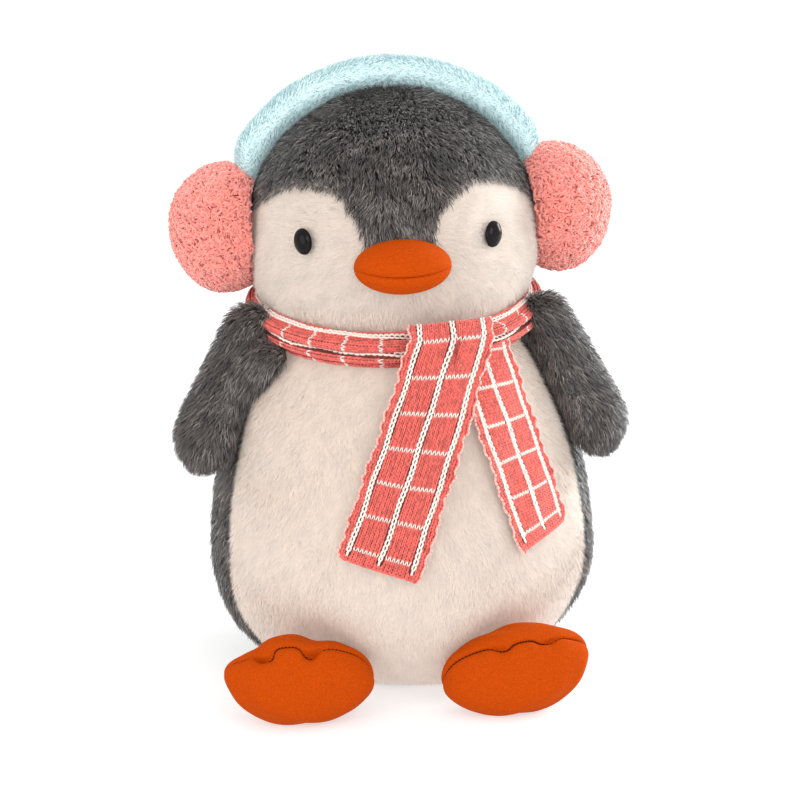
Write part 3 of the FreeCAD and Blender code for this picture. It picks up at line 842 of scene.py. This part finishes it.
def beak_form():
    """The whole beak with the dent of its mouth seam; x across, z up."""
    a = np.linspace(-math.pi / 2, math.pi / 2, BEAK_COLUMNS)
    b = np.linspace(-math.pi / 2, math.pi / 2, BEAK_ROWS)
    a, b = np.meshgrid(a, b)
    x = np.sin(a) * np.cos(b)
    y = -np.cos(a) * np.cos(b)
    z = np.sin(b)
    points = np.stack([x, y, z], -1).reshape(-1, 3) * BEAK_HALF
    outer = (points[:, 0] / BEAK_HALF[0]) ** 2
    gap = points[:, 2] - (LIP_Z + LIP_SMILE * outer)
    depth = 1.0 * MM * groove(gap, 0.55 * MM) + 0.8 * MM * groove(gap, 2.6 * MM)
    depth *= np.maximum(1 - outer, 0) ** 0.5
    surface = outwards(Surface(points, grid_faces(BEAK_ROWS, BEAK_COLUMNS)), np.zeros(3))
    return surface.moved(-depth), gap


beak, beak_gap = beak_form()
beak.verts += BEAK_SHIFT + (0, -HEAD_R, BEAK_Z)
for name, keep in (("beak_upper", 1), ("beak_lower", -1)):
    part = beak.part(np.sign(beak_gap[beak.quads].mean(1)) == keep)
    part.cloth(name + "_felt", "head", "orange_felt", felt, [name], thick=1.0 * MM, fill=0.9)
beak.filling("beak_stuffing", "head", 1.3 * MM)


# ---------------- feet

FOOT_HALF = mm(36.5, 17.0, 21.0)
FOOT_Y = -90 * MM
FOOT_Z = 20.4 * MM
FOOT_X = {"left": 49.1 * MM, "right": 56.9 * MM}
TOE_RISE = {"left": 8.0, "right": 1.0}
FOOT_LEAN = 16.0
TOE_VALLEYS = (math.radians(57), math.radians(106))     # round the rim from the outer end
VALLEY_DEPTH = {"left": 0.09, "right": 0.17}
VALLEY_BEHIND = {"left": 0.15, "right": 0.45}   # share of a valley that goes on behind the seam
SEAM_LEAN = {"left": 0.95, "right": 0.68}       # how far the seam runs to the front at the toes, in radians
OUTER_SLIM = {"left": 0.02, "right": 0.11}      # how much slimmer the outer toe is
OUTER_TOE = 0.66            # its place round the rim, in radians
UNDER_SLIM = 0.07           # how much slimmer the foot is under the outer toe
CREASE_DEPTH = 17 * MM      # of a valley as deep as the foot
TIP_RISE = {"left": 1.5 * MM, "right": 2.5 * MM}
RIM_STEPS = 260
THROUGH_STEPS = 170
SEAM_STITCHES = 110


def foot_form(name):
    """A puffed foot on edge, as the left one: three toes on top and a seam that leans to the front there.

    Gives the form, the seam line and which quads are in front of it. rim goes round the foot's outline,
    depth from front to back.
    """
    rim, depth = np.meshgrid(np.linspace(-0.5, 1.5, RIM_STEPS, endpoint=False) * math.pi,
                             np.linspace(-1, 1, THROUGH_STEPS) * math.pi / 2 * 0.9999)
    valleys = sum(groove(rim - valley, 0.19) for valley in TOE_VALLEYS)
    seam = -SEAM_LEAN[name] * np.sin(rim) - 1.1 * VALLEY_DEPTH[name] * valleys
    behind = VALLEY_BEHIND[name] + (1 - VALLEY_BEHIND[name]) * groove(depth - seam, 0.3)
    reach = np.where(depth < seam, groove(depth - seam, 0.6), behind)
    share = 1 + 0.03 * np.cos(rim - math.radians(200)) - VALLEY_DEPTH[name] * valleys * reach
    share -= OUTER_SLIM[name] * groove(rim - OUTER_TOE, 0.32)
    share -= UNDER_SLIM * groove(rim + 0.5, 0.5)
    puff = np.cos(depth) ** 0.78 * share
    points = np.stack([np.cos(rim) * puff, np.sin(depth), np.sin(rim) * puff], -1).reshape(-1, 3) * FOOT_HALF
    outer = np.maximum(points[:, 0] / FOOT_HALF[0], 0)
    points[:, 2] += TIP_RISE[name] * outer**2
    rim, from_seam = rim.ravel(), (depth - seam).ravel()
    inward = 0.8 * MM * groove(from_seam, 0.045) + 1.1 * MM * groove(from_seam, 0.13)
    for valley in TOE_VALLEYS:
        sideways = points[:, 0] - FOOT_HALF[0] * math.cos(valley) * 0.82
        crease = groove(sideways, 3.0 * MM) * groove(np.minimum(from_seam, 0), 0.42) * (np.sin(rim) > 0)
        inward += CREASE_DEPTH * VALLEY_DEPTH[name] * crease * (from_seam < 0.1)
    inward += 0.4 * MM * ripple(points, 16 * MM, 121)
    surface = outwards(Surface(points, grid_faces(THROUGH_STEPS, RIM_STEPS, wrap=True)), np.zeros(3))
    surface = surface.moved(-inward)
    row = (seam[0] / (math.pi / 2) + 1) / 2 * (THROUGH_STEPS - 1)
    above = np.floor(row).astype(int)
    share, column = (row - above)[:, None], np.arange(RIM_STEPS)
    rows = surface.verts.reshape(THROUGH_STEPS, -1, 3)
    line = rows[above, column] * (1 - share) + rows[above + 1, column] * share
    return surface, line, from_seam[surface.quads].mean(1) < 0


def rotation(axis, degrees):
    return np.array(Matrix.Rotation(math.radians(degrees), 3, axis))


def seam_stitches(name, body, line, materials):
    """Short stitches of thread along a closed seam line."""
    picks = (np.arange(SEAM_STITCHES)[:, None] + np.array([0.12, 0.4, 0.6, 0.88])) * len(line) / SEAM_STITCHES
    near_index = np.floor(picks).astype(int) % len(line)
    share = (picks - np.floor(picks))[..., None]
    spine = line[near_index] * (1 - share) + line[(near_index + 1) % len(line)] * share
    ups = unit(spine - line.mean(0))
    spine = spine + ups * mm(0.1, 0.5, 0.5, 0.1)[None, :, None]
    one_colour = np.zeros(SEAM_STITCHES, int)
    tubes(name, body, materials, spine, ups, mm(0.2, 0.38, 0.38, 0.2), one_colour)


for side, name in SIDES:
    foot, seam_line, sole = foot_form(name)
    turn = rotation("X", -FOOT_LEAN) @ rotation("Y", -TOE_RISE[name])
    put = (FOOT_X[name], FOOT_Y, FOOT_Z)
    verts = foot.verts @ turn.T + put
    verts[:, 2] = np.maximum(verts[:, 2], FLOOR_GAP)
    form = Surface(verts, foot.quads) if side > 0 else mirrored(Surface(verts, foot.quads))
    line = (seam_line @ turn.T + put) * (side, 1, 1)
    seam_stitches("foot_stitches_" + name, "foot_" + name, line, seam_thread)
    for node, keep in (("foot_sole_" + name, sole), ("foot_top_" + name, ~sole)):
        form.part(keep).cloth(node + "_felt", "foot_" + name, "orange_felt", felt, [node], fill=0.9)
    form.filling("foot_stuffing_" + name, "foot_" + name, 1.5 * MM)


# ---------------- scarf

WALE = 2.0 * MM             # width of one column of stitches
SQUARE = 17.6 * MM          # from one white cross row to the next
SQUARE_ROWS = 11
COURSE = SQUARE / SQUARE_ROWS   # height of one row of stitches
STRIPE = 3.3 * MM
LINK = 2.7 * MM             # length of one link of a white chain stripe
CELL_WALES = 6
HEM = 6.5 * MM              # plain coral below the last white cross row
STRIPE_SHORT = 4.2 * MM     # the hem is this much longer than what the white stripes leave plain
MARGIN = 3 * MM             # plain cloth outside the outer stripes
SCARF_W = 2 * (MARGIN + CELL_WALES * WALE) + 3 * STRIPE
GROUND_EDGE = 0.6 * MM      # the cloth under the stitches ends this far inside the strip
GROUND_IN = 0.15 * MM
CORAL_YARNS = (0, 3)        # numbers of the yarns' materials, first and past the last
WHITE_YARNS = (3, 5)
PALE_YARN = 5


class Strip:
    """A knitted strip. at(u, v) gives points for distances across (0 to width) and along (0 to length)."""

    def __init__(self, at, length):
        self.at = at
        self.length = length

    def frame(self, u, v):
        """Points and outward normals."""
        tiny = 0.3 * MM
        across = self.at(u + tiny, v) - self.at(u - tiny, v)
        along = self.at(u, v + tiny) - self.at(u, v - tiny)
        return self.at(u, v), unit(np.cross(along, across))

    def spines(self, u, v, h):
        points, normals = self.frame(u, v)
        return points + normals * h[..., None], normals

    def cloth(self, name, node, body, rows, columns, held, stitches):
        """A thin sheet under the strip's stitches, which stands for a CAD node; its dark colour is painted
        shade for the gaps between the stitches.
        """
        v = np.linspace(GROUND_EDGE, self.length - GROUND_EDGE, rows)[:, None]
        u = np.linspace(GROUND_EDGE, SCARF_W - GROUND_EDGE, columns)[None, :]
        points, normals = self.frame(*np.broadcast_arrays(u, v))
        surface = Surface((points - normals * GROUND_IN).reshape(-1, 3), grid_faces(rows, columns))
        surface = outwards(surface, surface.verts - normals.reshape(-1, 3))
        mesh = mesh_from(name, surface.verts, surface.quads)
        cloth = new_object(name, mesh, [knit_shade_sheet])
        place(cloth, body, [node])


def stripe_starts():
    """Where the three white stripes begin, across the strip."""
    step = CELL_WALES * WALE + STRIPE
    return [MARGIN + k * step for k in range(3)]


def column_middles():
    """Middles of the plain columns of stitches."""
    middles = []
    for share in (0.25, 0.75):
        middles += [share * MARGIN, SCARF_W - share * MARGIN]
    for start in stripe_starts()[:2]:
        middles += [start + STRIPE + (k + 0.5) * WALE for k in range(CELL_WALES)]
    return np.array(middles)


def knit(strip, name, body, seed, start=0.0, end=None, hem=HEM):
    """The stitches of a strip between two lengths: plain coral, white cross rows and white stripes."""
    draw = np.random.default_rng(seed)
    end = strip.length if end is None else end
    t = np.linspace(0, 1, 4)
    laid = []

    def lay(u, v, height, colours, radii):
        """Add yarns of four points each: across, along, over the cloth, material numbers, radii."""
        laid.append((*np.broadcast_arrays(u, v, height, radii), colours))

    def shake(amount, beside):
        return draw.normal(0, amount * MM, (len(beside), 1))

    count = int((end - start) / COURSE - 0.5)
    rows = end - COURSE * (np.arange(count) + 0.5)
    u0, v0 = np.meshgrid(column_middles(), rows)
    number = np.broadcast_to(np.arange(count)[:, None], u0.shape).ravel()
    white_row = number % SQUARE_ROWS == int(hem / COURSE)
    under = np.array([first + STRIPE * share for first in stripe_starts() for share in (0.27, 0.73)])
    hem_u, hem_v = np.meshgrid(under, rows[rows > end - hem + STRIPE_SHORT - LINK / 2])
    u0, v0 = np.concatenate([u0.ravel(), hem_u.ravel()]), np.concatenate([v0.ravel(), hem_v.ravel()])
    white_row = np.concatenate([white_row, np.zeros(hem_u.size, bool)])
    white_row &= (u0 > MARGIN) & (u0 < SCARF_W - MARGIN)
    tall = 1 + 0.2 * white_row[:, None]
    thin = 1 - 0.24 * white_row[:, None]
    for side in (-1, 1):
        u = u0[:, None] + side * (0.06 * WALE + 0.42 * WALE * t) + shake(0.04, u0)
        v = v0[:, None] + COURSE * (0.75 - 1.5 * t) * tall + shake(0.05, u0)
        height = mm(-0.25, 0.32, 0.4, -0.15) + shake(0.05, u0)
        white, coral = draw.integers(*WHITE_YARNS, len(u0)), draw.integers(*CORAL_YARNS, len(u0))
        lay(u, v, height, np.where(white_row, white, coral), mm(0.22, 0.5, 0.5, 0.2) * thin)
    for stripe in stripe_starts():
        v0 = np.arange(start + COURSE, end - max(hem - STRIPE_SHORT, COURSE), LINK)
        sway = 0.3 * MM * np.sin(v0 / (5 * MM) + 300 * stripe)
        open_share = 1 - groove(v0 - v0[-1], 0.7 * LINK)
        for side in (-1, 1):
            bow = side * mm(0.19, 0.78, 0.78, 0.19) * open_share[:, None]
            u = stripe + STRIPE / 2 + sway[:, None] + bow + shake(0.05, v0)
            height = mm(-0.1, 0.4, 0.45, -0.05) + shake(0.08, v0)
            colours = draw.integers(*WHITE_YARNS, len(v0))
            lay(u, v0[:, None] + LINK * (t - 0.5) * 1.25, height, colours, mm(0.42, 0.63, 0.63, 0.42))
    for edge, lean in ((0.0, 1), (SCARF_W, -1)):
        v0 = np.arange(start, end, COURSE * 1.25)
        u = edge + lean * mm(0.5, -0.15, -0.1, 0.6) + shake(0.12, v0)
        lay(u, v0[:, None] + COURSE * 1.8 * (t - 0.4), mm(-0.2, 0.45, 0.35, -0.4),
            np.full(len(v0), PALE_YARN), mm(0.3, 0.6, 0.6, 0.3))
    if hem:
        u0 = np.arange(0.6 * MM, SCARF_W - 1 * MM, COURSE)
        v = end - mm(0.7, 0.0, 0.1, 0.8) + shake(0.12, u0)
        lay(u0[:, None] + COURSE * 1.6 * (t - 0.4), v, mm(-0.2, 0.4, 0.3, -0.4),
            draw.integers(*CORAL_YARNS, len(u0)), mm(0.3, 0.5, 0.5, 0.3))
    u, v, height, radii, colours = (np.concatenate(group) for group in zip(*laid))
    spines, ups = strip.spines(u, np.clip(v, start, end), height)
    return tubes(name, body, coral_yarn + white_yarn + pale_yarn, spines, ups, radii, colours)


TAIL_LOW_Z = 62 * MM
TAIL_TOP_Z = 182 * MM
TAIL_LIFT = 1.43 * MM       # a tail's middle lies this far over the belly's pile
WRAP_R = 6.5 * MM           # the tails bend over the collar in this radius
WRAP_OVER = 11 * MM         # and this much of each does so


def tail_strip(corners, radii, length, seed, over, pleat=0.0):
    """A tail that hangs on the belly.

    corners: top left, top right, low left and low right as seen from the front, (x, z) in millimetres.
    radii: the belly's at the tail's low and top end. over: how far its top goes back and up over the collar.
    """
    top_left, top_right, low_left, low_right = (mm(*corner) for corner in corners)

    def belly_r(z):
        return bulge(z, radii[0], TAIL_LOW_Z, radii[1], TAIL_TOP_Z) + TAIL_LIFT

    def at(u, v):
        t, s = u / SCARF_W, np.maximum(v - WRAP_OVER, 0) / (length - WRAP_OVER)
        wrap = np.maximum(WRAP_OVER - v, 0) / WRAP_R
        left = top_left + (low_left - top_left) * s[..., None]
        right = top_right + (low_right - top_right) * s[..., None]
        radius = belly_r((left[..., 1] + right[..., 1]) / 2)
        a = np.arcsin(np.clip(left[..., 0] / radius, -0.99, 0.99))
        b = np.arcsin(np.clip(right[..., 0] / radius, -0.99, 0.99))
        x = radius * np.sin(a + (b - a) * t)
        share = (x - left[..., 0]) / (right[..., 0] - left[..., 0])
        z = left[..., 1] + (right[..., 1] - left[..., 1]) * share
        flat = np.stack([x, 0 * x, z], -1)
        waves = ripple(flat.reshape(-1, 3), 32 * MM, seed).reshape(x.shape) * 0.8 * MM
        curl = 0.9 * MM * (groove(t, 0.05) + groove(t - 1, 0.05)) + 0.6 * MM * groove(s - 1, 0.03)
        edge = 0.45 * MM * np.sin(v / (1.1 * MM)) + 0.5 * MM * np.sin(v / (4.3 * MM))
        edge = edge * (1 - groove(v - length, 5 * MM)) + 1.8 * MM * groove(v - length, 2.2 * MM)
        edge = edge * (groove(t, 0.06) - groove(t - 1, 0.06))
        beside = (t - 0.5) * SCARF_W - 0.1 * (v - 20 * MM)
        fold = pleat * smooth_step(v, 28 * MM, 18 * MM) * smooth_step(v, 6 * MM, 18 * MM) * MM
        fold = fold * (1.2 * groove(beside, 2.0 * MM) - 3.4 * groove(beside - 3.2 * MM, 1.5 * MM))
        deep = belly_r(z) + waves + curl + fold - over[0] * (1 - np.cos(wrap))
        depth = np.sqrt(np.maximum(deep**2 - x**2, 0))
        return np.stack([x + edge, -depth, z + over[1] * np.sin(wrap)], -1)

    return Strip(at, length)


TAILS = {
    "front": tail_strip(((2.0, 178.5), (42.0, 178.5), (-35.6, 80.5), (2.3, 68.0)), mm(97.3, 78.2), 124 * MM,
                        111, (WRAP_R, WRAP_R), pleat=1.0),
    "rear": tail_strip(((23.0, 168.0), (51.0, 168.0), (51.5, 75.5), (76.6, 84.6)), mm(96, 72.0), 103 * MM,
                       113, (1.5 * WRAP_R, 0.6 * WRAP_R)),
}
for name, strip in TAILS.items():
    stitches = knit(strip, f"scarf_{name}_stitches", "scarf_" + name, 115)
    node = f"scarf_{name}_tail"
    strip.cloth(f"scarf_{name}_cloth", node, "scarf_" + name, 120, 50, held="hung", stitches=[stitches])


COLLAR_R = 65 * MM
COLLAR_Z = 182.6 * MM
COLLAR_HALF = mm(11.0, 7.2)
COLLAR_SLIM = 3.5 * MM      # it is this much thinner beside the shoulders
COLLAR_DROP = math.radians(9)
COLLAR_START = math.radians(14)
COLLAR_ARC = math.radians(196)  # how far its cloth goes round the roll, from edge to edge
FOLDS = 4.0
WRAP_PARTS = 3


def collar_profile(w, azimuth):
    """Radius and height of the gathered cloth, w from 0 at its upper edge to 1 at its lower edge."""
    turn = COLLAR_ARC * (0.5 - w)
    wander = 0.16 * np.sin(azimuth * 2 + 1) + 0.1 * np.sin(azimuth * 5)
    hump = np.abs(np.sin(math.pi * (FOLDS * w + 0.2 + wander)))
    swell = (4.4 + 0.9 * np.sin(azimuth * 4 + 5 * w)) * MM * (hump**0.8 - 0.8)
    half = COLLAR_HALF[0] - COLLAR_SLIM * np.sin(azimuth) ** 2
    r = COLLAR_R + (half + swell) * np.cos(turn)
    z = (COLLAR_HALF[1] + swell * 0.6) * np.sin(turn)
    return r, z


def collar_strip():
    """One turn round the neck from under the front tail. v runs towards the toy's right and round."""
    w = np.linspace(0, 1, 240)
    r, z = collar_profile(w, 0.4)
    reach = np.concatenate([[0], np.cumsum(np.hypot(np.diff(r), np.diff(z)))])
    length = 2 * math.pi * (COLLAR_R + 0.7 * COLLAR_HALF[0])

    def at(u, v):
        azimuth = COLLAR_START - v / length * 2 * math.pi
        share = np.interp(u / SCARF_W * reach[-1], reach, w)
        radius, rise = collar_profile(share, azimuth)
        y = -radius * np.cos(azimuth)
        return np.stack([radius * np.sin(azimuth),
                         y * math.cos(COLLAR_DROP) - rise * math.sin(COLLAR_DROP),
                         COLLAR_Z + y * math.sin(COLLAR_DROP) + rise * math.cos(COLLAR_DROP)], -1)

    return Strip(at, length)


collar = collar_strip()
wrap_stitches = []
for part in range(WRAP_PARTS):
    start, end = collar.length * part / WRAP_PARTS, collar.length * (part + 1) / WRAP_PARTS
    name = f"scarf_wrap_stitches_{part + 1}"
    wrap_stitches.append(knit(collar, name, "torso", 117 + part, start, end, hem=0))
collar.cloth("scarf_wrap_cloth", "scarf_wrap", "torso", 420, 110, held="gathered", stitches=wrap_stitches)


# ---------------- CAD pieces that stay

dress("base_panel", white_skin)
dress("headband_stuffing", fibre)
for side, name in SIDES:
    dress("wing_stuffing_" + name, fibre)
    dress("earmuff_stuffing_" + name, fibre)
    dress("eye_" + name, eye_gloss)
    dress("eye_washer_" + name, washer_plastic)


# ---------------- stage, lights and camera

VIEW_DISTANCE = 1.150
VIEW_ELEVATION = math.radians(13)
VIEW_AZIMUTH = math.radians(-3)
VIEW_ROLL = math.radians(1.8)
VIEW_TARGET_Z = 0.139
VIEW_LENS = 103.5
SENSOR_WIDTH = 36           # both in millimetres
VIEW_AIM = (1.5 * MM, -6 * MM)      # aim point, right of and above the target


def add_camera():
    """A long lens a little above the toy, rolled slightly."""
    back = Vector((math.sin(VIEW_AZIMUTH) * math.cos(VIEW_ELEVATION),
                   -math.cos(VIEW_AZIMUTH) * math.cos(VIEW_ELEVATION),
                   math.sin(VIEW_ELEVATION)))
    right = (-back).cross(Vector((0, 0, 1))).normalized()
    up = back.cross(right)
    rolled_right = right * math.cos(VIEW_ROLL) - up * math.sin(VIEW_ROLL)
    rolled_up = right * math.sin(VIEW_ROLL) + up * math.cos(VIEW_ROLL)
    place_at = Vector((0, 0, VIEW_TARGET_Z)) + back * VIEW_DISTANCE
    place_at += rolled_right * VIEW_AIM[0] + rolled_up * VIEW_AIM[1]
    data = bpy.data.cameras.new("camera")
    data.lens = VIEW_LENS
    data.sensor_width = SENSOR_WIDTH
    camera = bpy.data.objects.new("camera", data)
    turned = Matrix((rolled_right, rolled_up, back)).transposed().to_4x4()
    camera.matrix_world = Matrix.Translation(place_at) @ turned
    bpy.context.scene.collection.objects.link(camera)
    bpy.context.scene.camera = camera


LIT_PLACE = Vector((0, 0, 0.14))


def add_light(name, at, size, power, colour):
    """A round soft light that shines on the toy's middle."""
    data = bpy.data.lights.new(name, "AREA")
    data.shape = "DISK"
    data.size = size
    data.energy = power
    data.color = colour
    light = bpy.data.objects.new(name, data)
    light.location = at
    toward = LIT_PLACE - Vector(at)
    light.rotation_euler = toward.to_track_quat("-Z", "Y").to_euler()
    bpy.context.scene.collection.objects.link(light)


PAPER_HALF = 30.0


def add_stage():
    """White paper that glows a little, under an even white sky."""
    corners = np.array([(-1, -1, 0), (1, -1, 0), (1, 1, 0), (-1, 1, 0)]) * PAPER_HALF
    paper = cloth_material("paper", (0.5, 0.5, 0.5), (0.51, 0.51, 0.51), 0.9, 0.5, 0.01, 2,
                           Emission_Color=(1, 1, 1, 1), Emission_Strength=0.55)
    floor = new_object("floor", mesh_from("floor", corners, np.array([[0, 1, 2, 3]])), [paper])
    world = bpy.data.worlds.new("studio")
    world.use_nodes = True
    sky = world.node_tree.nodes["Background"]
    sky.inputs["Color"].default_value = (1, 1, 1, 1)
    sky.inputs["Strength"].default_value = 1.04
    bpy.context.scene.world = world
    bpy.context.scene.view_settings.view_transform = "Standard"


add_stage()
add_light("key", (0.5, -1.5, 1.0), 1.1, 9, (1, 0.99, 0.98))
add_light("side", (1.3, 0.55, 0.6), 0.8, 20, (0.92, 0.97, 1))
add_light("fill", (-1.2, -1.2, 0.6), 1.3, 7, (1, 0.95, 0.9))
add_camera()
